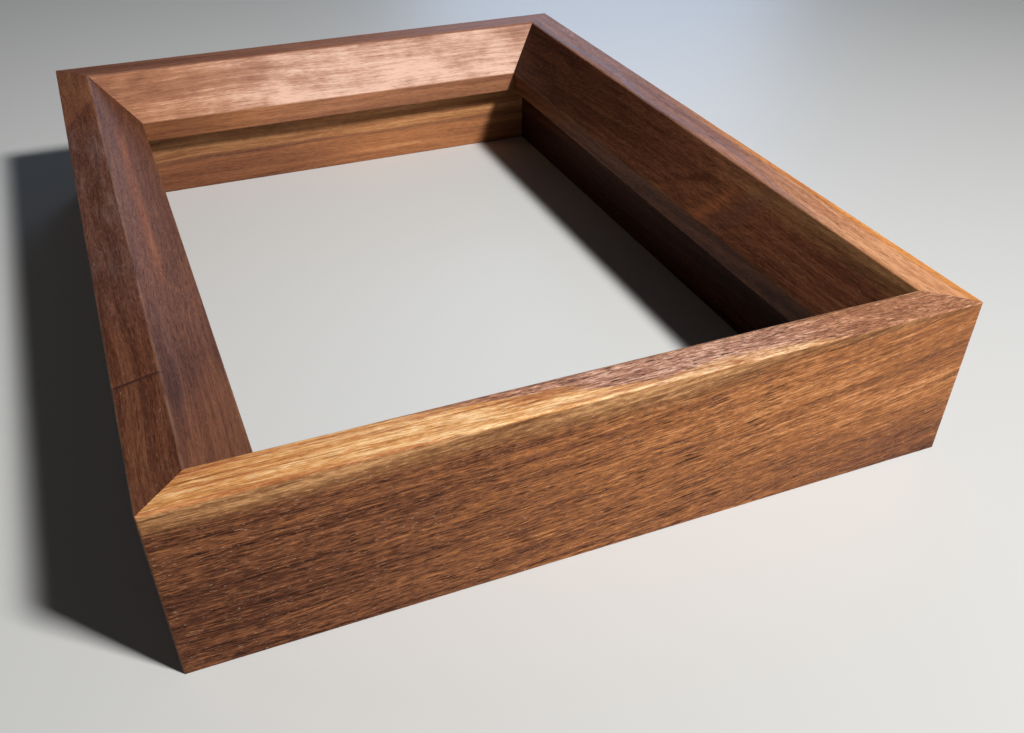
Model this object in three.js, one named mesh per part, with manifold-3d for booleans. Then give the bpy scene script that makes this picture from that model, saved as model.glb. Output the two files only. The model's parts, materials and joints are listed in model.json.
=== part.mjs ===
// Walnut picture frame for a 5 x 7 inch print: four mitred rails with an inward slope on the front
// and a deep rabbet at the back, held by a hidden biscuit and two V-nails in each corner.
// Units are millimetres. The frame lies on its back: +Z points out of its front, +Y to its top rail.
// The origin is at the middle of the back, on the surface that the frame lies on.

import * as THREE from 'three';
import { mergeVertices } from 'three/addons/utils/BufferGeometryUtils.js';
import Module from 'manifold-3d';

const wasm = await Module();
wasm.setup();

// Driving dimensions of the frame
const outerWidth = 160;
const outerLength = 209;
const frameHeight = 36.6;

// Driving dimensions of the rail's profile
const bandWidth = 8.4;
const railWidth = 20.2;
const slopeDrop = railWidth - bandWidth; // the slope is cut at 45 degrees
const rabbetDepth = 19.1;
const backWallWidth = 14.5;
const edgeEase = 0.35;
const glueLine = 0.1;

// Driving dimensions of the hidden joinery
const keyLength = 17;
const keyWidth = 11;
const keyThickness = 3;
const keyInset = 8.6; // from both outer faces, to the middle of the key
const keyHeight = 23.5; // from the back, to the middle of the key
const keyClearance = 0.3;
const nailLeg = 5;
const nailHook = 0.9;
const nailThickness = 0.5;
const nailLength = 12;
const nailRecess = 0.4;
const nailClearance = 0.2;
const nailInsets = { outer: 3.6, inner: 8.6 }; // from both outer faces, to the point of the V

const cornerCount = 4;
const curveSteps = 3;

// Materials

function woodMaterial(color) {
  return new THREE.MeshStandardMaterial({ color, roughness: 0.5, metalness: 0 });
}

const railColors = {
  bottom_rail: 0xa0683f,
  right_rail: 0x8a5a3c,
  top_rail: 0x9a6646,
  left_rail: 0x6b3f30,
};
const keyColor = 0xcdb18a;
const steelColor = 0x8c9094;

// Solids for cutting

function toSolid(geometry) {
  const bare = geometry.clone();
  bare.deleteAttribute('normal');
  bare.deleteAttribute('uv');
  const merged = mergeVertices(bare);
  const mesh = new wasm.Mesh({
    numProp: 3,
    vertProperties: new Float32Array(merged.attributes.position.array),
    triVerts: new Uint32Array(merged.index.array),
  });
  return new wasm.Manifold(mesh);
}

function toGeometry(solid) {
  const mesh = solid.getMesh();
  const geometry = new THREE.BufferGeometry();
  geometry.setAttribute('position', new THREE.BufferAttribute(mesh.vertProperties, 3));
  geometry.setIndex(new THREE.BufferAttribute(mesh.triVerts, 1));
  return geometry;
}

// Rails

// The outline with each corner eased, as a shape whose corners are short curves.
function easedShape(corners) {
  const shape = new THREE.Shape();
  corners.forEach((corner, i) => {
    const before = corners.at(i - 1).clone().sub(corner).setLength(edgeEase).add(corner);
    const after = corners[(i + 1) % corners.length].clone().sub(corner).setLength(edgeEase).add(corner);
    if (i === 0) shape.moveTo(before.x, before.y);
    else shape.lineTo(before.x, before.y);
    shape.quadraticCurveTo(corner.x, corner.y, after.x, after.y);
  });
  shape.closePath();
  return shape;
}

// The rail's section: x is the inset from the outer face, y is the height above the back.
function railSection() {
  return easedShape([
    new THREE.Vector2(0, 0),
    new THREE.Vector2(backWallWidth, 0),
    new THREE.Vector2(backWallWidth, rabbetDepth),
    new THREE.Vector2(railWidth, rabbetDepth),
    new THREE.Vector2(railWidth, frameHeight - slopeDrop),
    new THREE.Vector2(bandWidth, frameHeight),
    new THREE.Vector2(0, frameHeight),
  ]);
}

// A rail along +X with its outer face on y = 0 and both ends mitred at 45 degrees.
// It is extruded straight, then each end is drawn in by the inset of its points.
function mitredRail(length) {
  const geometry = new THREE.ExtrudeGeometry(railSection(), {
    depth: length,
    bevelEnabled: false,
    curveSegments: curveSteps,
  });
  const endTrim = (glueLine / 2) * Math.SQRT2;
  const position = geometry.attributes.position;
  for (let i = 0; i < position.count; i += 1) {
    const inset = position.getX(i);
    const height = position.getY(i);
    const atFarEnd = position.getZ(i) > length / 2;
    const reach = inset + endTrim;
    position.setXYZ(i, atFarEnd ? length - reach : reach, inset, height);
  }
  return geometry;
}

// Hidden joinery, built at a corner whose outer faces are x = 0 and y = 0

// A pointed oval whose long axis lies in the mitre, grown by the clearance where it is a slot.
function keyBody(clearance) {
  const halfLength = keyLength / 2 + clearance;
  const halfWidth = keyWidth / 2 + clearance;
  const radius = (halfLength ** 2 + halfWidth ** 2) / (2 * halfWidth);
  const halfAngle = Math.asin(halfLength / radius);
  const offset = radius - halfWidth;
  const shape = new THREE.Shape();
  shape.absarc(0, -offset, radius, Math.PI / 2 - halfAngle, Math.PI / 2 + halfAngle, false);
  shape.absarc(0, offset, radius, 1.5 * Math.PI - halfAngle, 1.5 * Math.PI + halfAngle, false);
  const thickness = keyThickness + 2 * clearance;
  const geometry = new THREE.ExtrudeGeometry(shape, { depth: thickness, bevelEnabled: false, curveSegments: 10 });
  geometry.rotateZ(Math.PI / 4);
  geometry.translate(keyInset, keyInset, keyHeight - thickness / 2);
  return geometry;
}

// The strip of a V-nail seen from the back: two legs with hooked tips, grown where it is a pocket.
function nailOutline(clearance) {
  const half = nailThickness / 2 + clearance;
  const leg = nailLeg + clearance;
  const hook = nailHook + clearance;
  const shape = new THREE.Shape();
  shape.moveTo(-half, -half);
  shape.lineTo(leg + half, -half);
  shape.lineTo(leg + half, hook);
  shape.lineTo(leg - half, hook);
  shape.lineTo(leg - half, half);
  shape.lineTo(half, half);
  shape.lineTo(half, leg - half);
  shape.lineTo(hook, leg - half);
  shape.lineTo(hook, leg + half);
  shape.lineTo(-half, leg + half);
  shape.closePath();
  return shape;
}

function nailBody(inset) {
  const geometry = new THREE.ExtrudeGeometry(nailOutline(0), { depth: nailLength, bevelEnabled: false });
  geometry.translate(inset, inset, nailRecess);
  return geometry;
}

// The pocket runs out through the back, so it starts below the back face.
function nailPocket(inset) {
  const mouth = 1;
  const depth = mouth + nailRecess + nailLength + nailClearance;
  const geometry = new THREE.ExtrudeGeometry(nailOutline(nailClearance), { depth, bevelEnabled: false });
  geometry.translate(inset, inset, -mouth);
  return geometry;
}

// Corners, counted anticlockwise from the bottom left as seen from the front

const cornerNames = ['bottom_left', 'bottom_right', 'top_right', 'top_left'];

// The transform that takes the corner built at the origin to corner number i.
function cornerMatrix(i) {
  const turn = new THREE.Matrix4().makeRotationZ((i * Math.PI) / 2);
  const signX = i === 0 || i === 3 ? -1 : 1;
  const signY = i < 2 ? -1 : 1;
  const move = new THREE.Matrix4().makeTranslation((signX * outerWidth) / 2, (signY * outerLength) / 2, 0);
  return move.multiply(turn);
}

const cornerCutters = [keyBody(keyClearance), ...Object.values(nailInsets).map(nailPocket)];

// The rail that starts at corner i and runs to the next corner, cut for both corners' joinery.
function railGeometry(i) {
  const length = i % 2 === 0 ? outerWidth : outerLength;
  const start = cornerMatrix(i);
  let solid = toSolid(mitredRail(length).applyMatrix4(start));
  for (const corner of [i, (i + 1) % cornerCount]) {
    const place = cornerMatrix(corner);
    for (const cutter of cornerCutters) {
      solid = solid.subtract(toSolid(cutter.clone().applyMatrix4(place)));
    }
  }
  return toGeometry(solid);
}

// Assembly

const frame = new THREE.Group();

function addPiece(parent, name, geometry, material) {
  const mesh = new THREE.Mesh(geometry, material);
  mesh.name = name;
  parent.add(mesh);
}

const railNames = ['bottom_rail', 'right_rail', 'top_rail', 'left_rail'];
railNames.forEach((name, i) => {
  addPiece(frame, name, railGeometry(i), woodMaterial(railColors[name]));
});

cornerNames.forEach((cornerName, i) => {
  const corner = new THREE.Group();
  corner.applyMatrix4(cornerMatrix(i));
  addPiece(corner, `mitre_key_${cornerName}`, keyBody(0), woodMaterial(keyColor));
  for (const [row, inset] of Object.entries(nailInsets)) {
    const steel = new THREE.MeshStandardMaterial({ color: steelColor, roughness: 0.35, metalness: 1 });
    addPiece(corner, `v_nail_${cornerName}_${row}`, nailBody(inset), steel);
  }
  frame.add(corner);
});

export default frame;
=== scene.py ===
import json
import math

import bmesh
import bpy
from mathutils import Matrix, Vector, noise


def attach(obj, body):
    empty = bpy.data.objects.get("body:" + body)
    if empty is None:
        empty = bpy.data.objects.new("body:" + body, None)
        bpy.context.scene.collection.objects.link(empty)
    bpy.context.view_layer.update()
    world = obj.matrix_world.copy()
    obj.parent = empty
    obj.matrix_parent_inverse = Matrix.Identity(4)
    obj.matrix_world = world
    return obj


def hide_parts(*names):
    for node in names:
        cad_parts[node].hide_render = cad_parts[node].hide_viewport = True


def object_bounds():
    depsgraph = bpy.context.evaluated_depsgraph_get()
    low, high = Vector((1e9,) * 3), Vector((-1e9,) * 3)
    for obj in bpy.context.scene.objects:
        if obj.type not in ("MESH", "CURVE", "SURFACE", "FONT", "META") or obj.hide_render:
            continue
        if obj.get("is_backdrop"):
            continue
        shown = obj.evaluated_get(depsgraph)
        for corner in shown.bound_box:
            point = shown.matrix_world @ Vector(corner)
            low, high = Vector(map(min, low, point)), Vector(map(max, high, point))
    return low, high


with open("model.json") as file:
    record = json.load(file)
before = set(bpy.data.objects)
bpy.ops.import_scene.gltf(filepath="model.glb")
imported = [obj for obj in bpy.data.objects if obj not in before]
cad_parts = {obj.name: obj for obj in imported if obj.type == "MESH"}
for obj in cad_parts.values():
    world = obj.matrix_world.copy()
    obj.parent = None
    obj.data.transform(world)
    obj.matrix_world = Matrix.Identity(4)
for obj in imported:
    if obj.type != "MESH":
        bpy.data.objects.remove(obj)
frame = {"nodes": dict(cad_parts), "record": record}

MM = 0.001
CAD_LOW, CAD_HIGH = (Vector(corner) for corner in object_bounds())
WIDTH, LENGTH, HEIGHT = CAD_HIGH - CAD_LOW

# The rail's profile, in metres
BAND = 8.4 * MM
RAIL = 20.2 * MM
SLOPE_DROP = RAIL - BAND
BACK_WALL = 14.5 * MM
MOUNTS = {mount["name"]: mount for mount in frame["record"]["mounts"]}
RABBET_DEPTH = MOUNTS["rabbet_ledge"]["pos_m"][2]

# Anticlockwise as seen from the front, each running from the rail before it to the next
RAILS = ["bottom_rail", "right_rail", "top_rail", "left_rail"]

# A shallow score across the band of the left rail, and how far it leans for each step inwards
SCORE_RAIL = RAILS.index("left_rail")
SCORE_PLACE = 174.8 * MM
SCORE_SKEW = 0.31
SCORE_WIDTH = 0.45 * MM
SCORE_DEPTH = 0.16 * MM


def new_object(name, mesh):
    data = bpy.data.meshes.new(name)
    mesh.to_mesh(data)
    mesh.free()
    piece = bpy.data.objects.new(name, data)
    bpy.context.scene.collection.objects.link(piece)
    return piece


# ---------------------------------------------------------------- camera, lights and floor

CAMERA_PLACE = (-0.0699, -0.22196, 0.1359)
CAMERA_TURN = (0.8909, -0.0054, -0.3971)
CAMERA_SENSOR = 36
CAMERA_LENS = 34.57
CAMERA_SHIFT = 0.0718
CAMERA_NEAREST = 10 * MM

# Power is in watts and spread in degrees
LIGHTS = {
    "key": dict(towards=(0.381, -0.573, 0.725), distance=0.95, size=0.12, power=3.35,
                color=(0.93, 0.925, 0.92), spread=90, aim=(0, 0.03, 0)),
    "window": dict(towards=(0.55, 1.0, 0.30), distance=1.8, size=0.7, power=4.2,
                   color=(0.50, 0.68, 1.0)),
    "fill": dict(towards=(-1.0, 0.55, 0.09), distance=1.2, size=0.15, power=2.0,
                 color=(1.0, 0.97, 0.9)),
}
SKY_COLOR = (0.86, 0.93, 1.0)
SKY_BRIGHTNESS = 0.03
BACKDROP_BRIGHTNESS = 0.40

FLOOR_RADIUS = 0.70
FLOOR_SIDES = 96
FLOOR_COLOR = (0.60, 0.60, 0.585)
FLOOR_ROUGHNESS = 0.42
FLOOR_SPECULAR = 0.8


def add_camera():
    camera = bpy.data.objects.new("camera", bpy.data.cameras.new("camera"))
    camera.data.sensor_width = CAMERA_SENSOR
    camera.data.lens = CAMERA_LENS
    camera.data.shift_y = CAMERA_SHIFT
    camera.data.clip_start = CAMERA_NEAREST
    camera.location = CAMERA_PLACE
    camera.rotation_euler = CAMERA_TURN
    bpy.context.scene.collection.objects.link(camera)
    bpy.context.scene.camera = camera


def add_area_light(name, towards, distance, size, power, color, spread=180, aim=(0, 0, 0)):
    """A square light at distance in the direction towards, which looks at the point aim."""
    light = bpy.data.lights.new(name, "AREA")
    light.size = size
    light.energy = power
    light.color = color
    light.spread = math.radians(spread)
    lamp = bpy.data.objects.new(name, light)
    lamp.location = Vector(towards).normalized() * distance
    beam = lamp.location - Vector(aim)
    lamp.rotation_euler = beam.to_track_quat("Z", "Y").to_euler()
    lamp.visible_camera = False
    bpy.context.scene.collection.objects.link(lamp)


def add_world():
    """A dim sky that the camera sees as a plain pale backdrop."""
    world = bpy.data.worlds.new("studio")
    world.use_nodes = True
    nodes, links = world.node_tree.nodes, world.node_tree.links
    background = nodes["Background"]
    background.inputs["Color"].default_value = (*SKY_COLOR, 1)
    brightness = nodes.new("ShaderNodeMath")
    brightness.operation = "MULTIPLY_ADD"
    links.new(nodes.new("ShaderNodeLightPath").outputs["Is Camera Ray"], brightness.inputs[0])
    brightness.inputs[1].default_value = BACKDROP_BRIGHTNESS - SKY_BRIGHTNESS
    brightness.inputs[2].default_value = SKY_BRIGHTNESS
    links.new(brightness.outputs[0], background.inputs["Strength"])
    bpy.context.scene.world = world


def add_floor():
    mesh = bmesh.new()
    bmesh.ops.create_circle(mesh, cap_ends=True, segments=FLOOR_SIDES, radius=FLOOR_RADIUS)
    floor = new_object("floor", mesh)
    material = bpy.data.materials.new("pale_table")
    material.use_nodes = True
    shader = material.node_tree.nodes["Principled BSDF"]
    shader.inputs["Base Color"].default_value = (*FLOOR_COLOR, 1)
    shader.inputs["Roughness"].default_value = FLOOR_ROUGHNESS
    shader.inputs["Specular IOR Level"].default_value = FLOOR_SPECULAR
    floor.data.materials.append(material)
    floor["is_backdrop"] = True


# ---------------------------------------------------------------- shader nodes

class Graph:
    """Short calls for making the nodes of one material. A value is a number or an output socket."""

    def __init__(self, name):
        self.material = bpy.data.materials.new(name)
        self.material.use_nodes = True
        self.tree = self.material.node_tree
        self.shader = self.tree.nodes["Principled BSDF"]

    def put(self, socket, value):
        if isinstance(value, bpy.types.NodeSocket):
            self.tree.links.new(value, socket)
        elif value is not None:
            socket.default_value = value

    def math(self, operation, a, b=None, c=None):
        node = self.tree.nodes.new("ShaderNodeMath")
        node.operation = operation
        for socket, value in zip(node.inputs, (a, b, c)):
            self.put(socket, value)
        return node.outputs[0]

    def add(self, a, b):
        return self.math("ADD", a, b)

    def sum(self, first, *others):
        for value in others:
            first = self.add(first, value)
        return first

    def times(self, first, *others):
        for value in others:
            first = self.math("MULTIPLY", first, value)
        return first

    def larger(self, a, b):
        return self.math("MAXIMUM", a, b)

    def smaller(self, a, b):
        return self.math("MINIMUM", a, b)

    def less(self, value):
        """1 less value."""
        return self.math("SUBTRACT", 1.0, value)

    def above(self, value, low, high, height=1.0):
        """0 below low and height above high, with a smooth step between them."""
        node = self.tree.nodes.new("ShaderNodeMapRange")
        node.interpolation_type = "SMOOTHSTEP"
        self.put(node.inputs["Value"], value)
        self.put(node.inputs["From Min"], low)
        self.put(node.inputs["From Max"], high)
        node.inputs["To Max"].default_value = height
        return node.outputs["Result"]

    def below(self, value, low, high):
        """1 below low and 0 above high, with a smooth step between them."""
        return self.less(self.above(value, low, high))

    def around(self, value, centre, low, high):
        """1 where value is within low of centre, falling to 0 at high from it."""
        return self.below(self.math("ABSOLUTE", self.add(value, -centre)), low, high)

    def blend(self, factor, a, b):
        """a where factor is 0, b where it is 1."""
        return self.add(self.times(a, self.less(factor)), self.times(b, factor))

    def length(self, vector):
        node = self.tree.nodes.new("ShaderNodeVectorMath")
        node.operation = "LENGTH"
        self.put(node.inputs[0], vector)
        return node.outputs["Value"]

    def split(self, vector):
        node = self.tree.nodes.new("ShaderNodeSeparateXYZ")
        self.put(node.inputs[0], vector)
        return node.outputs[0], node.outputs[1], node.outputs[2]

    def join(self, x, y, z):
        node = self.tree.nodes.new("ShaderNodeCombineXYZ")
        for socket, value in zip(node.inputs, (x, y, z)):
            self.put(socket, value)
        return node.outputs[0]

    def noise(self, vector, detail=2.0, roughness=0.5, color=False):
        node = self.tree.nodes.new("ShaderNodeTexNoise")
        self.put(node.inputs["Vector"], vector)
        node.inputs["Scale"].default_value = 1
        node.inputs["Detail"].default_value = detail
        node.inputs["Roughness"].default_value = roughness
        return node.outputs["Color" if color else "Fac"]

    def ramp(self, value, stops):
        """stops is [(position, (r, g, b)), ...]."""
        node = self.tree.nodes.new("ShaderNodeValToRGB")
        elements = node.color_ramp.elements
        while len(elements) < len(stops):
            elements.new(0.5)
        for element, (position, color) in zip(elements, stops):
            element.position = position
            element.color = (*color, 1)
        self.put(node.inputs[0], value)
        return node.outputs["Color"]

    def mix(self, factor, a, b):
        """Colour a where factor is 0, b where it is 1."""
        node = self.tree.nodes.new("ShaderNodeMix")
        node.data_type = "RGBA"
        self.put(node.inputs["Factor"], factor)
        for socket, value in zip((node.inputs[6], node.inputs[7]), (a, b)):
            self.put(socket, (*value, 1) if isinstance(value, tuple) else value)
        return node.outputs[2]

    def bump(self, height, strength, distance):
        node = self.tree.nodes.new("ShaderNodeBump")
        self.put(node.inputs["Height"], height)
        node.inputs["Strength"].default_value = strength
        node.inputs["Distance"].default_value = distance
        self.put(self.shader.inputs["Normal"], node.outputs[0])


# ---------------------------------------------------------------- wood

# The profile in millimetres, which the wood's coordinates are in
FRONT = HEIGHT / MM
BAND_EDGE = BAND / MM
LIP_EDGE = RAIL / MM
LIP_TOP = (HEIGHT - SLOPE_DROP) / MM
WALL = BACK_WALL / MM
LEDGE = RABBET_DEPTH / MM

# Walnut from darkest to lightest: warm heartwood and rosy heartwood; the rosy colours also stand in, on
# the top faces, as painted sheen of the window light
WARM = [
    (0.00, (0.024, 0.007, 0.003)),
    (0.20, (0.066, 0.021, 0.010)),
    (0.40, (0.147, 0.053, 0.024)),
    (0.60, (0.242, 0.092, 0.036)),
    (0.80, (0.375, 0.140, 0.043)),
    (1.00, (0.580, 0.265, 0.110)),
]
ROSE = [
    (0.00, (0.020, 0.008, 0.007)),
    (0.20, (0.066, 0.026, 0.018)),
    (0.40, (0.145, 0.062, 0.043)),
    (0.60, (0.240, 0.112, 0.080)),
    (0.80, (0.400, 0.215, 0.155)),
    (1.00, (0.700, 0.470, 0.370)),
]


def patch_stops(dark, *lighter):
    """The colours of a patch, spread evenly over the tones that its grain takes."""
    colors = (dark, *lighter)
    low, high = 0.36, 0.64
    return [(low + (high - low) * i / (len(colors) - 1), color) for i, color in enumerate(colors)]


# Patches: three looks of the sapwood, and then the stains and streaks of the heartwood; umber also paints
# the shade at the bottom of the score
GOLD = patch_stops((0.38, 0.140, 0.040), (0.60, 0.285, 0.098), (0.85, 0.570, 0.300))
TAN = patch_stops((0.14, 0.054, 0.021), (0.27, 0.122, 0.048), (0.56, 0.292, 0.124))
OLIVE = patch_stops((0.084, 0.035, 0.014), (0.148, 0.068, 0.028), (0.25, 0.126, 0.054))
RED = patch_stops((0.22, 0.060, 0.020), (0.46, 0.155, 0.058))
ORANGE = patch_stops((0.42, 0.140, 0.028), (0.72, 0.300, 0.070))
SMOKE = patch_stops((0.10, 0.068, 0.078), (0.24, 0.165, 0.180))
UMBER = patch_stops((0.035, 0.013, 0.010), (0.105, 0.045, 0.036))
EMBER = patch_stops((0.10, 0.030, 0.012), (0.26, 0.100, 0.045))
HAZE = patch_stops((0.26, 0.200, 0.190), (0.50, 0.400, 0.370))

PORE_COLOR = (0.018, 0.007, 0.004)
# The pale fleck colour is pores filled with finish, and also painted glints of the finish catching the
# light
FLECK_AND_GLINT_COLOR = (0.78, 0.51, 0.36)
# The edge colour is rubbed wear, and also a painted highlight where the rounded edges catch the light
WEAR_AND_HIGHLIGHT_COLOR = (0.50, 0.27, 0.16)

# How far each layer of the wood lightens or darkens it, and the darkest that the figure gets
BAND_CONTRAST = 0.75
STREAK_CONTRAST = 0.85
LATE_WOOD = -0.10
THREAD_CONTRAST = 0.60
FIBRE_CONTRAST = 0.72
DARKEST_FIGURE = -0.12

FINISH_ROUGHNESS = 0.44
FINISH_SPECULAR = 0.07
GRAIN_RELIEF = 0.05 * MM


def rail_matrix(index):
    """From a rail's own frame, x along it, y inwards from its outer face, z up, to the row frame."""
    turn = Matrix.Rotation(index * math.pi / 2, 4, "Z")
    sign_x = -1 if index in (0, 3) else 1
    sign_y = -1 if index < 2 else 1
    corner = Vector((sign_x * WIDTH / 2, sign_y * LENGTH / 2, 0))
    return Matrix.Translation(corner) @ turn


def rail_coordinates(graph, index):
    """The rail's own frame in millimetres, as three sockets."""
    inverse = rail_matrix(index).inverted()
    coordinates = graph.tree.nodes.new("ShaderNodeTexCoord")
    mapping = graph.tree.nodes.new("ShaderNodeMapping")
    mapping.inputs["Scale"].default_value = (1 / MM,) * 3
    mapping.inputs["Rotation"].default_value = inverse.to_euler()
    mapping.inputs["Location"].default_value = inverse.translation / MM
    graph.put(mapping.inputs["Vector"], coordinates.outputs["Object"])
    return graph.split(mapping.outputs[0])


class Log:
    """One rail's wood: where its surfaces are, and the bent coordinates of the log it was sawn from.

    x runs along the rail, y inwards from its outer face and z up from its back, in millimetres.
    """

    def __init__(self, g, index, wood):
        self.g = g
        self.seed = wood["seed"]
        self.rail_length = (LENGTH if index % 2 else WIDTH) / MM
        self.x, self.y, self.z = rail_coordinates(g, index)
        self.find_surfaces()
        self.bend(wood["warp"], *wood["drift"])
        pith_y, pith_z = wood["pith"]
        from_pith_y = g.add(self.across, -pith_y)
        from_pith_z = g.add(self.up, -pith_z)
        self.radius = g.length(g.join(from_pith_y, from_pith_z, 0.0))

    def find_surfaces(self):
        """Masks that are 1 on the band, the slope, the lip's edge and the rabbet's wall."""
        g, y, z = self.g, self.y, self.z
        self.on_band = g.above(z, FRONT - 0.5, FRONT - 0.1)
        self.on_slope = g.times(g.above(y, BAND_EDGE - 0.3, BAND_EDGE + 0.3),
                                g.above(z, LIP_TOP - 0.4, LIP_TOP + 0.2), g.less(self.on_band))
        self.on_wall = g.times(g.above(y, WALL - 0.5, WALL - 0.1), g.below(z, LEDGE - 0.5, LEDGE + 0.3))
        self.on_lip = g.times(g.above(y, LIP_EDGE - 0.5, LIP_EDGE - 0.2),
                              g.less(self.on_wall), g.less(self.on_slope))

    def bend(self, warp, straight, curved):
        """The fibres wander by about warp, and climb by a straight and a curved part of x."""
        g = self.g
        wander = g.noise(g.join(g.times(self.x, 0.014), g.add(g.times(self.y, 0.035), self.seed),
                                g.times(self.z, 0.035)), detail=2, color=True)
        _, wander_y, wander_z = g.split(wander)
        climb = g.add(g.times(self.x, straight), g.times(self.x, self.x, curved))
        self.across = g.add(self.y, g.times(g.add(wander_y, -0.5), 4 * warp))
        self.up = g.add(g.math("SUBTRACT", self.z, climb), g.times(g.add(wander_z, -0.5), 4 * warp))

    def grain(self, along, across, layer, detail=2.0, roughness=0.5):
        """Noise that is long along the fibres: along and across are its cycles in a millimetre.

        Each layer number gives noise of its own.
        """
        g = self.g
        place = g.join(g.times(self.x, along), g.add(g.times(self.across, across), self.seed + layer),
                       g.times(self.up, across))
        return g.noise(place, detail, roughness)

    def feather(self, size):
        """A long-grained wandering of an edge, about size to each side, in millimetres."""
        wandering = self.g.add(self.grain(0.016, 0.6, layer=70, detail=4, roughness=0.62), -0.5)
        return self.g.times(wandering, 4 * size)


# Each rail's figure is its tone from 0, dark, to 1, light; how rosy it is, which on the top faces is
# partly painted sheen of the window light; its patches, each a mask, its colours and a lift of their
# tone; and how calm its grain is.

def bottom_figure(g, log):
    """Dark at the left and orange towards the right, with sapwood along the outer top edge."""
    x, y, z = log.x, log.y, log.z
    past_middle = g.above(x, 84, 98)
    right_end = g.above(x, 105, 150)
    band_tone = g.sum(
        0.80,
        g.above(x, 80, 130, -0.05),
        g.times(past_middle, 0.05),
        g.above(x, 114, 130, -0.07),
    )
    upper = g.times(g.above(z, 18, 26), g.less(g.times(right_end, 0.6)))
    low_middle = g.times(g.around(x, 108, 10, 28), g.below(z, 7, 17))
    low_right = g.times(right_end, g.below(z, 4, 13))
    glow = g.times(right_end, g.around(g.add(z, log.feather(1.5)), 18.0, 1.0, 6.0))
    face_tone = g.sum(
        0.335,
        g.above(x, 0, 130, 0.385),
        g.above(x, 130, 155, -0.05),
        g.times(low_right, -0.24),
        g.times(glow, 0.14),
        g.times(upper, 0.075),
        g.times(low_middle, -0.045),
    )
    tone = g.blend(log.on_band, face_tone, band_tone)

    # The sapwood's lower edge on the outer face dips, then rises towards the right end
    left_height = 32.7
    lower_edge = g.sum(
        left_height,
        g.above(x, 54, 76, -1.6),
        g.above(x, 100, 126, 3.8),
        g.above(x, 126, 156, 1.0),
    )
    in_sapwood = g.sum(z, g.times(lower_edge, -1), log.feather(0.5), g.above(y, 8, 9, -2))
    middle = g.times(g.above(x, 50, 76), g.below(x, 112, 128))
    soft_low = g.add(-1.0, g.times(middle, -0.8))
    soft_high = g.add(0.8, g.times(middle, 2.4))
    tan = g.times(g.above(in_sapwood, soft_low, soft_high), g.less(log.on_band))
    tan_lift = g.sum(-0.05, g.above(in_sapwood, 0, 4.5, 0.15), g.times(middle, -0.04))

    # On the band it narrows from the whole width to nothing, and comes back along the outer edge
    full_width, narrows_from, narrows_over = 8.9, 34, 58
    taper = g.math("POWER", g.larger(g.times(g.add(x, -narrows_from), 1 / narrows_over), 0.0), 1.7)
    main = g.sum(full_width, g.times(taper, -full_width), g.times(y, -1), log.feather(1.3))
    second_width, second_middle, second_reach = 2.8, 106, 20
    offset = g.times(g.add(x, -second_middle), 1 / second_reach)
    second = g.sum(second_width, g.times(offset, offset, -second_width), g.times(y, -1), log.feather(0.6))
    second = g.times(g.above(second, -0.8, 1.0), g.add(1.0, g.times(past_middle, -0.4)))
    gold = g.times(g.larger(g.above(main, -0.5, 0.7), second), log.on_band)
    gold_lift = g.add(-0.045, g.above(x, 2, 50, 0.085))
    red = log.grain(0.010, 0.75, layer=90, detail=3, roughness=0.6)
    red = g.times(gold, g.above(red, 0.48, 0.60))
    inner_edge = g.times(log.on_band, g.around(g.add(y, log.feather(0.3)), 8.0, 0.1, 0.6),
                         g.above(x, 70, 95))

    # On the band the rosy tint is partly painted sheen of the window light
    rose_and_sheen = g.times(log.on_band, g.above(x, 30, 80), g.add(0.75, g.above(x, 108, 135, -0.35)))
    patches = [
        (tan, TAN, tan_lift),
        (gold, GOLD, gold_lift),
        (g.times(red, 0.7), RED, 0.0),
        (g.times(inner_edge, 0.7), TAN, 0.03),
    ]
    calm = g.larger(g.larger(gold, tan), g.above(x, 100, 150, 0.8))
    return tone, rose_and_sheen, patches, calm


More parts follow.
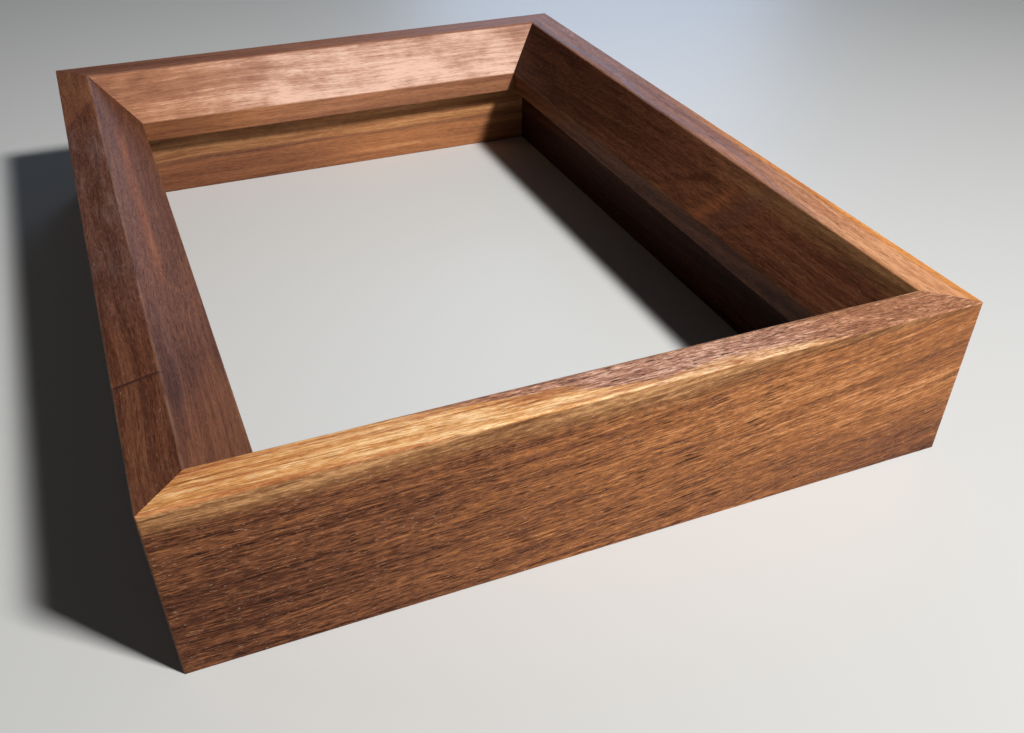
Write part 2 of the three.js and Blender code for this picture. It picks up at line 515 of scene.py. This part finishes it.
def right_figure(g, log):
    """A bright band with a smoky wavy streak, above a dark bevel with an olive streak."""
    x, y = log.x, log.y
    near = g.below(x, 10, 125)
    band_tone = g.sum(0.57, g.times(near, 0.38), g.above(x, 130, 190, 0.03))
    slope_tone = g.add(0.30, g.above(x, 80, 190, -0.17))
    # The rabbet's wall and the lip's edge are painted much darker, as painted shade of the shadow that
    # fills this rail's inner side
    side_tone = g.sum(0.52, g.times(log.on_wall, -0.42), g.times(log.on_lip, -0.16))
    tone = g.blend(log.on_band, g.blend(log.on_slope, side_tone, slope_tone), band_tone)

    # An orange outer edge, and a streak that waves along the band
    edge = g.times(log.on_band, g.below(g.add(y, log.feather(0.4)), 0.8, 2.8), g.below(x, 70, 150))
    wave_middle, wave_size, wave_length, wave_crest = 6.6, 1.5, 68, 50
    wave = g.math("COSINE", g.times(g.add(x, -wave_crest), 2 * math.pi / wave_length))
    from_wave = g.sum(y, g.times(wave, -wave_size), log.feather(0.5))
    strength = g.add(g.above(x, 32, 58, 0.45), g.above(x, 90, 150, 0.45))
    smoke = g.times(log.on_band, g.around(from_wave, wave_middle, 0.1, 1.3), strength)

    # Pointed arches, one inside another, where the cut runs out of the rings
    arch_axis, arch_slant, arch_place = 12.6, 2.6, 60
    from_axis = g.math("ABSOLUTE", g.sum(y, -arch_axis, log.feather(0.5)))
    arch = g.add(x, g.times(from_axis, -arch_slant))
    arches = g.noise(g.join(g.times(arch, 0.16), log.seed, 0.0), 2, 0.5)
    arches = g.times(g.above(arches, 0.40, 0.62), g.around(arch, arch_place, 14, 34), log.on_slope)

    # A glow and a shadow that cross the bevel, and the olive streak under the band
    glow_place, shadow_place = 61.0, 53.5
    cross = g.sum(x, g.times(y, -0.6), log.feather(1.2))
    glow = g.times(g.around(cross, glow_place, 0.4, 3.5), log.on_slope, g.above(y, 11.0, 14.0))
    shadow = g.times(g.around(cross, shadow_place, 1.0, 5.0), log.on_slope)
    olive = g.times(log.on_slope, g.below(g.add(y, log.feather(0.7)), 10.0, 12.5), g.below(x, 45, 95))

    # The rosy tint on the band, strongest at the far end, is painted sheen of the window light
    rose_and_sheen = g.times(log.on_band, g.add(0.15, g.times(g.less(near), 0.75)))
    patches = [
        (g.times(arches, 0.35), EMBER, 0.0),
        (g.times(glow, 0.30), RED, -0.06),
        (g.times(shadow, 0.40), UMBER, 0.0),
        (g.times(olive, 0.8), OLIVE, 0.0),
        (smoke, SMOKE, 0.0),
        (g.times(edge, 0.8), ORANGE, 0.0),
    ]
    return tone, rose_and_sheen, patches, 0.0


def top_figure(g, log):
    """A dark band above a bevel that brightens from orange at the left to pale rose at the right."""
    x, y, z = log.x, log.y, log.z
    to_left = g.above(x, 80, 145)
    sheen = g.noise(g.join(g.times(x, 0.10), g.times(y, 0.16), log.seed), 2, 0.5)
    slope_tone = g.sum(
        0.845,
        g.times(to_left, -0.18),
        g.above(y, BAND_EDGE, 19, 0.10),
        g.times(g.add(sheen, -0.5), 0.46),
    )
    band_tone = g.add(0.56, g.times(to_left, -0.10))
    lip_tone = g.add(0.64, g.above(x, 100, 140, -0.16))
    wall_tone = g.sum(0.74, g.above(x, 60, 110, -0.27), g.above(z, 2, 14, 0.06))
    back_tone = 0.45
    elsewhere = g.less(g.sum(log.on_band, log.on_slope, log.on_wall, log.on_lip))
    tone = g.sum(
        g.times(log.on_band, band_tone),
        g.times(log.on_slope, slope_tone),
        g.times(log.on_wall, wall_tone),
        g.times(log.on_lip, lip_tone),
        g.times(elsewhere, back_tone),
    )
    # The rosy tint on the bevel and band is partly painted sheen of the window light; on the wall and lip
    # it is rosy wood
    rose_and_sheen = g.sum(
        g.times(log.on_slope, g.add(0.85, g.times(to_left, -0.40))),
        g.times(log.on_band, 0.7),
        g.times(log.on_wall, 0.15),
        g.times(log.on_lip, g.add(0.35, g.times(to_left, -0.35))),
    )

    # The rabbet's wall is tan in its upper half, with a dark line under the tan
    line_height = 9.4
    tan = g.times(log.on_wall, g.above(g.add(z, log.feather(1.0)), 8.0, 12.0))
    line = g.times(log.on_wall, g.around(g.add(z, log.feather(0.5)), line_height, 0.1, 1.1))
    patches = [
        (g.times(tan, 0.5), TAN, 0.04),
        (g.times(line, 0.45), UMBER, 0.0),
    ]
    return tone, rose_and_sheen, patches, 0.0


def left_figure(g, log):
    """Dark red-brown, with a lighter pointed patch on the band at the far end."""
    x, y, z = log.x, log.y, log.z
    point_slant = 2.6
    point = g.below(g.sum(x, g.times(y, point_slant), g.times(log.feather(0.5), 3)), 47, 52)
    point = g.times(point, log.on_band)
    ridge_side = g.below(y, 10.5, 14.5)
    slope_tone = g.sum(0.30, g.times(ridge_side, 0.05), g.above(x, 140, 185, -0.15))
    band_tone = g.add(0.285, g.above(x, 150, 180, -0.01))
    tone = g.add(g.blend(log.on_slope, band_tone, slope_tone), g.times(point, 0.12))

    # A smoky line swings out from the ridge and back, a flame starts at the lip, and a red streak
    # runs down the middle of the bevel
    swing_place, swing_reach, swing_peak, swing_size = 166, 27, 11.2, 2.6
    swing = g.times(g.add(x, -swing_place), 1 / swing_reach)
    from_smoke = g.sum(y, -swing_peak, g.times(swing, swing, swing_size), log.feather(0.35))
    near_swing = g.around(x, swing_place, 18, 34)
    smoke = g.times(g.around(from_smoke, 0.0, 0.1, 0.8), near_swing, log.on_slope)
    flame_place, flame_axis, flame_slant = 154, 18.6, 3.2
    from_axis = g.math("ABSOLUTE", g.sum(y, -flame_axis, log.feather(0.4)))
    flame = g.sum(x, -flame_place, g.times(from_axis, -flame_slant))
    flame = g.times(g.above(flame, -6.0, 9.0), log.on_slope)
    streak_axis = 12.9
    streak = g.times(g.around(g.add(y, log.feather(0.5)), streak_axis, 0.3, 1.7),
                     g.above(x, 30, 60), g.below(x, 115, 140), log.on_slope)

    # Pale haze on the band, and painted shade at the bottom of the score
    haze = g.noise(g.join(g.times(x, 0.05), g.times(y, 0.22), log.seed), 3, 0.6)
    haze = g.times(g.above(haze, 0.48, 0.66), log.on_band, g.above(x, 45, 60), g.below(x, 120, 150))
    from_score = g.sum(x, g.times(y, SCORE_SKEW), -SCORE_PLACE / MM)
    score_shade = g.times(g.around(from_score, 0.0, 0.15, 0.50), g.above(z, FRONT - 1.0, FRONT - 0.3))

    middle = g.times(g.above(x, 40, 60), g.below(x, 135, 165))
    # The rosy tint, strongest on the band, is partly painted sheen of the window light
    band_rose_and_sheen = g.add(0.25, g.times(middle, 0.60))
    rose_and_sheen = g.blend(log.on_slope, band_rose_and_sheen, g.add(0.10, g.times(ridge_side, 0.40)))
    patches = [
        (g.times(smoke, 0.5), UMBER, 0.0),
        (g.times(flame, 0.55), EMBER, 0.0),
        (g.times(streak, 0.35), RED, -0.05),
        (g.times(haze, 0.09), HAZE, 0.0),
        # Painted shade in the bottom of the score
        (score_shade, UMBER, -0.3),
    ]
    return tone, rose_and_sheen, patches, 0.0


# pith is where the log's middle lies, as y and z, ring is the width of a growth ring, and warp and
# drift bend the fibres; pores, contrast and fine are the strengths of the pores, streaks and fibres
WOODS = {
    "bottom_rail": dict(
        figure=bottom_figure, seed=11.0, pith=(60.0, -150.0), ring=3.4, warp=0.9,
        drift=(-0.02, 0.0006), pores=1.0, contrast=0.64, fine=1.9),
    "right_rail": dict(
        figure=right_figure, seed=23.0, pith=(19.0, 42.0), ring=3.2, warp=1.6,
        drift=(-0.05, 0.0), pores=0.5, contrast=0.50, fine=0.65),
    "top_rail": dict(
        figure=top_figure, seed=37.0, pith=(50.0, 110.0), ring=4.0, warp=1.4,
        drift=(0.0, 0.0), pores=0.30, contrast=0.60, fine=0.55),
    "left_rail": dict(
        figure=left_figure, seed=53.0, pith=(20.0, 30.0), ring=4.2, warp=1.8,
        drift=(0.04, 0.0), pores=0.5, contrast=0.45, fine=0.65),
}


def arris_wear_and_highlight(g, log):
    """1 along the rail's long edges and outer corners, broken up, where handling rubs the finish, and
    also a painted highlight where the rounded edges catch the light.
    """
    from_end = g.smaller(log.x, g.math("SUBTRACT", log.rail_length, log.x))
    nearest = g.length(g.join(from_end, log.y, 0.0))
    for inset, height in ((0.0, FRONT), (BAND_EDGE, FRONT), (LIP_EDGE, LIP_TOP), (0.0, 0.0)):
        from_edge = g.length(g.join(g.add(log.y, -inset), g.add(log.z, -height), 0.0))
        nearest = g.smaller(nearest, from_edge)
    broken = g.noise(g.join(g.times(log.x, 0.05), log.seed, 0.0), detail=2)
    return g.times(g.below(nearest, 0.10, 0.50), g.above(broken, 0.30, 0.65))


def open_pores(g, log, ring):
    """Short dark dashes, fine ones everywhere and coarse ones early in each ring."""
    fine = g.above(log.grain(0.36, 4.4, layer=20, detail=1), 0.55, 0.66, 0.60)
    coarse = g.add(log.grain(0.17, 3.1, layer=30, detail=1), g.times(ring, -0.04))
    return g.larger(fine, g.above(coarse, 0.61, 0.69, 0.85))


def walnut(name, index, wood):
    """Oiled walnut: its rings, streaks, fibres, pores and flecks follow the rail's log."""
    g = Graph("walnut_" + name)
    log = Log(g, index, wood)
    tone, rose_and_sheen, patches, calm = wood["figure"](g, log)

    # Growth rings darken slowly and end sharply, and bands and streaks run along them
    ring = g.math("FRACT", g.math("DIVIDE", log.radius, wood["ring"]))
    late = g.times(g.above(ring, 0.2, 0.92), g.below(ring, 0.92, 1.0))
    bands = g.noise(g.join(g.times(log.radius, 0.19), g.times(log.x, 0.006), wood["seed"]), 4, 0.6)
    bands = g.add(bands, -0.5)
    streaks = g.add(log.grain(0.02, 0.8, layer=0, detail=4, roughness=0.62), -0.5)
    figure = g.sum(g.times(bands, BAND_CONTRAST), g.times(streaks, STREAK_CONTRAST),
                   g.times(late, LATE_WOOD))
    figure = g.math("SMOOTH_MAX", g.times(figure, wood["contrast"]), DARKEST_FIGURE, 0.08)

    # Threads and single fibres
    threads = g.add(log.grain(0.06, 2.0, layer=9, detail=4, roughness=0.75), -0.5)
    fibres = g.add(log.grain(0.40, 3.0, layer=15, detail=3, roughness=0.75), -0.5)
    grain = g.add(g.times(threads, THREAD_CONTRAST), g.times(fibres, FIBRE_CONTRAST))
    grain = g.times(grain, wood["fine"], g.add(1.0, g.times(calm, -0.2)))

    shade = g.sum(tone, figure, grain)
    # The rosy palette is mixed in by the rosy tint, which on the top faces is partly painted sheen of the
    # window light
    color = g.mix(rose_and_sheen, g.ramp(shade, WARM), g.ramp(shade, ROSE))
    patch_tone = g.sum(0.5, g.times(streaks, 0.5), g.times(grain, 0.5))
    for mask, stops, lift in patches:
        color = g.mix(mask, color, g.ramp(g.add(patch_tone, lift), stops))

    # Open pores are dark; the pale flecks are pores that the finish has filled and also painted glints of
    # the finish; the edges are lighter from rubbing and also as a painted highlight where they catch the
    # light
    pores = g.times(open_pores(g, log, ring), wood["pores"], g.add(1.0, g.times(calm, -0.55)))
    flecks_and_glints = g.above(log.grain(0.95, 5.6, layer=40, detail=1), 0.685, 0.75)
    flecks_and_glints = g.times(flecks_and_glints, 0.18, wood["fine"])
    wear_and_highlight = g.times(arris_wear_and_highlight(g, log), g.less(calm))
    color = g.mix(pores, color, PORE_COLOR)
    color = g.mix(flecks_and_glints, color, FLECK_AND_GLINT_COLOR)
    color = g.mix(g.times(wear_and_highlight, 0.22), color, WEAR_AND_HIGHLIGHT_COLOR)

    roughness = g.sum(FINISH_ROUGHNESS, g.times(fibres, 0.12), g.times(pores, 0.3), g.times(wear_and_highlight, 0.08))
    relief = g.sum(g.times(fibres, 0.6), g.times(pores, -1.0), g.times(flecks_and_glints, 0.6))
    g.put(g.shader.inputs["Base Color"], color)
    g.put(g.shader.inputs["Roughness"], roughness)
    g.shader.inputs["Specular IOR Level"].default_value = FINISH_SPECULAR
    g.bump(relief, 0.5, GRAIN_RELIEF)
    return g.material


# ---------------------------------------------------------------- rails

OUTER_EASE = 0.45 * MM
BACK_EASE = 0.3 * MM
LEDGE_EASE = 0.15 * MM
EASE_VARIATION = 0.3
EASE_WAVELENGTH = 9 * MM
CORNER_ROUND = 0.5 * MM
GLUE_GAP = 0.03 * MM
SKIN = 0.002 * MM  # keeps the outer faces just inside the CAD's box
SHARP_ANGLE = math.radians(32)

# How finely the rails are divided: around the section, and along the rail, closer at its ends
ARC_STEPS = 4
HOLD = 0.25 * MM
SECTION_STEP = 2.2 * MM
STATION_STEP = 2.5 * MM
END_STATIONS = [distance * MM for distance in (0.0, 0.12, 0.25, 0.38, 0.5, 0.75, 1.4)]

# The joinery is cut out of the rails with some clearance
CLEARANCES = {"mitre_key": 0.3 * MM, "v_nail": 0.06 * MM}
CORNER_REACH = 1.5  # a corner moves further than the faces that meet in it
WELD_DISTANCE = 0.001 * MM

# Corners of the section as (inset, height, ease), anticlockwise from the outer back edge
PROFILE = [
    (SKIN, 0.0, BACK_EASE),
    (BACK_WALL, 0.0, BACK_EASE),
    (BACK_WALL, RABBET_DEPTH, LEDGE_EASE),
    (RAIL, RABBET_DEPTH, BACK_EASE),
    (RAIL, HEIGHT - SLOPE_DROP, OUTER_EASE),
    (BAND, HEIGHT - SKIN, OUTER_EASE),
    (SKIN, HEIGHT - SKIN, OUTER_EASE),
]


def rounded(before, corner, after, ease):
    """Points on the curve that eases a corner, from the side of before to the side of after."""
    start = corner + (before - corner).normalized() * ease
    end = corner + (after - corner).normalized() * ease
    arc = []
    for step in range(ARC_STEPS + 1):
        t = step / ARC_STEPS
        arc.append(start * (1 - t) ** 2 + corner * 2 * t * (1 - t) + end * t ** 2)
    return arc


def section(ease_scale):
    """Points around the rail's section, with the corners rounded and the flats divided."""
    corners = [Vector((inset, height)) for inset, height, _ in PROFILE]
    following = corners[1:] + corners[:1]
    arcs = []
    for i, corner in enumerate(corners):
        arcs.append(rounded(corners[i - 1], corner, following[i], PROFILE[i][2] * ease_scale))
    points = []
    for i, arc in enumerate(arcs):
        here = arc[-1]
        there = arcs[(i + 1) % len(arcs)][0]
        run = (there - here).length
        along = (there - here).normalized()
        steps = max(1, round(((following[i] - corners[i]).length - 2 * HOLD) / SECTION_STEP))
        points.extend(arc)
        points.append(here + along * HOLD)
        for step in range(1, steps):
            points.append(here + along * (HOLD + (run - 2 * HOLD) * step / steps))
        points.append(there - along * HOLD)
    return points


def stations(length):
    """Distances along a rail, close together at its ends where the corner is rounded."""
    last = END_STATIONS[-1]
    inner = length - 2 * last
    steps = round(inner / STATION_STEP)
    middle = [last + inner * step / steps for step in range(1, steps)]
    return END_STATIONS + middle + [length - distance for distance in reversed(END_STATIONS)]


def round_corner(along, inset):
    """Moves a point of the square outer corner onto the corner's round."""
    reach_x = CORNER_ROUND - along
    reach_y = CORNER_ROUND - inset
    reach = math.hypot(reach_x, reach_y)
    if reach_x > 0 and reach_y > 0 and reach > CORNER_ROUND:
        share = CORNER_ROUND / reach
        return CORNER_ROUND - reach_x * share, CORNER_ROUND - reach_y * share
    return along, inset


def rail_vertex(along, length, point):
    """Where a section point lies at a station, on a rail whose ends are mitred."""
    inset, height = point
    start = inset + GLUE_GAP
    end = length - inset - GLUE_GAP
    place = start + (end - start) * along / length
    if place < length / 2:
        place, inset = round_corner(place, inset)
    else:
        mirrored, inset = round_corner(length - place, inset)
        place = length - mirrored
    return Vector((place, inset, height))


def close_tube(mesh, rows):
    """Joins rows of vertices, each a closed loop, into a tube with a face on both ends."""
    around = len(rows[0])
    for row, following in zip(rows, rows[1:]):
        for i in range(around):
            j = (i + 1) % around
            mesh.faces.new((row[i], row[j], following[j], following[i]))
    mesh.faces.new(rows[0])
    mesh.faces.new(list(reversed(rows[-1])))


def sweep_rail(name, index):
    """The rail before its joinery is cut, in the row frame."""
    length = LENGTH if index % 2 else WIDTH
    seed = WOODS[name]["seed"]
    rows = []
    mesh = bmesh.new()
    for along in stations(length):
        unevenness = noise.noise(Vector((along / EASE_WAVELENGTH, seed, 0)))
        points = section(1 + EASE_VARIATION * unevenness)
        rows.append([mesh.verts.new(rail_vertex(along, length, point)) for point in points])
    close_tube(mesh, rows)
    bmesh.ops.recalc_face_normals(mesh, faces=mesh.faces)
    mesh.transform(rail_matrix(index))
    return mesh


def add_score(mesh):
    """A thin wedge whose lower edge is the bottom of the score across the left rail's band."""
    rise = 4 * SCORE_DEPTH
    half = SCORE_WIDTH / 2 * (rise + SCORE_DEPTH) / SCORE_DEPTH
    ends = []
    for inset in (-MM, BAND + MM):
        place = SCORE_PLACE - SCORE_SKEW * inset
        corners = [(place, -SCORE_DEPTH), (place + half, rise), (place - half, rise)]
        points = [rail_matrix(SCORE_RAIL) @ Vector((x, inset, HEIGHT + z)) for x, z in corners]
        ends.append([mesh.verts.new(point) for point in points])
    close_tube(mesh, ends)


def grown_node(node, clearance, to_the_back):
    """A CAD node's mesh grown by its clearance, and run out through the back if it opens there."""
    part = bmesh.new()
    part.from_mesh(node.data)
    part.transform(node.matrix_world)
    bmesh.ops.remove_doubles(part, verts=part.verts, dist=WELD_DISTANCE)
    part.normal_update()
    lowest = min(vertex.co.z for vertex in part.verts)
    for vertex in part.verts:
        at_mouth = to_the_back and vertex.co.z < lowest + 0.1 * MM
        vertex.co += vertex.normal * clearance * CORNER_REACH
        if at_mouth:
            vertex.co.z = -MM
    data = bpy.data.meshes.new("grown")
    part.to_mesh(data)
    part.free()
    return data


def joinery_cutter():
    """The keys and V-nails grown by their clearances, and the wedge of the score."""
    cutter = bmesh.new()
    for name, node in frame["nodes"].items():
        for prefix, clearance in CLEARANCES.items():
            if name.startswith(prefix):
                grown = grown_node(node, clearance, to_the_back=prefix == "v_nail")
                cutter.from_mesh(grown)
                bpy.data.meshes.remove(grown)
    add_score(cutter)
    bmesh.ops.recalc_face_normals(cutter, faces=cutter.faces)
    return cutter


def cut(piece, cutter):
    """Takes the cutter out of the piece, and leaves the piece as a plain mesh."""
    modifier = piece.modifiers.new("joinery", "BOOLEAN")
    modifier.operation = "DIFFERENCE"
    modifier.solver = "EXACT"
    modifier.object = cutter
    graph = bpy.context.evaluated_depsgraph_get()
    data = bpy.data.meshes.new_from_object(piece.evaluated_get(graph))
    piece.modifiers.clear()
    before = piece.data
    piece.data = data
    bpy.data.meshes.remove(before)
    data.name = piece.name


def build_rail(name, index, cutter):
    rail = new_object(name + "_wood", sweep_rail(name, index))
    cut(rail, cutter)
    rail.data.materials.clear()
    rail.data.materials.append(walnut(name, index, WOODS[name]))
    for polygon in rail.data.polygons:
        polygon.use_smooth = True
    rail.data.set_sharp_from_angle(angle=SHARP_ANGLE)
    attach(rail, "root")
    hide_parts(name)


# ---------------------------------------------------------------- hidden joinery

def grained(name, cycles, colors, roughness, relief):
    """A material with one grain: its cycles in a metre along x, y and z, and what it changes."""
    g = Graph(name)
    place = g.split(g.tree.nodes.new("ShaderNodeTexCoord").outputs["Object"])
    grain = g.noise(g.join(*(g.times(value, count) for value, count in zip(place, cycles))), detail=3)
    dark, light = colors
    least, variation = roughness
    g.put(g.shader.inputs["Base Color"], g.ramp(grain, [(0.3, dark), (0.7, light)]))
    g.put(g.shader.inputs["Roughness"], g.add(g.times(grain, variation), least))
    g.bump(grain, 0.3, relief)
    return g


def rolled_steel():
    colors = (0.34, 0.35, 0.37), (0.62, 0.63, 0.65)
    g = grained("v_nail_steel", (9000, 9000, 700), colors, (0.22, 0.25), 0.02 * MM)
    g.shader.inputs["Metallic"].default_value = 1
    return g.material


def pressed_beech():
    colors = (0.46, 0.29, 0.16), (0.66, 0.47, 0.29)
    return grained("beech", (900, 900, 4000), colors, (0.5, 0.2), 0.05 * MM).material


def dress_joinery():
    materials = {"mitre_key": pressed_beech(), "v_nail": rolled_steel()}
    for name, node in frame["nodes"].items():
        for prefix, material in materials.items():
            if name.startswith(prefix):
                node.data.materials.clear()
                node.data.materials.append(material)


# ---------------------------------------------------------------- the scene

bpy.context.scene.view_settings.view_transform = "Standard"
add_camera()
add_world()
add_floor()
for light_name, settings in LIGHTS.items():
    add_area_light(light_name, **settings)
joinery = new_object("joinery_cutter", joinery_cutter())
for rail_index, rail_name in enumerate(RAILS):
    build_rail(rail_name, rail_index, joinery)
bpy.data.objects.remove(joinery)
dress_joinery()
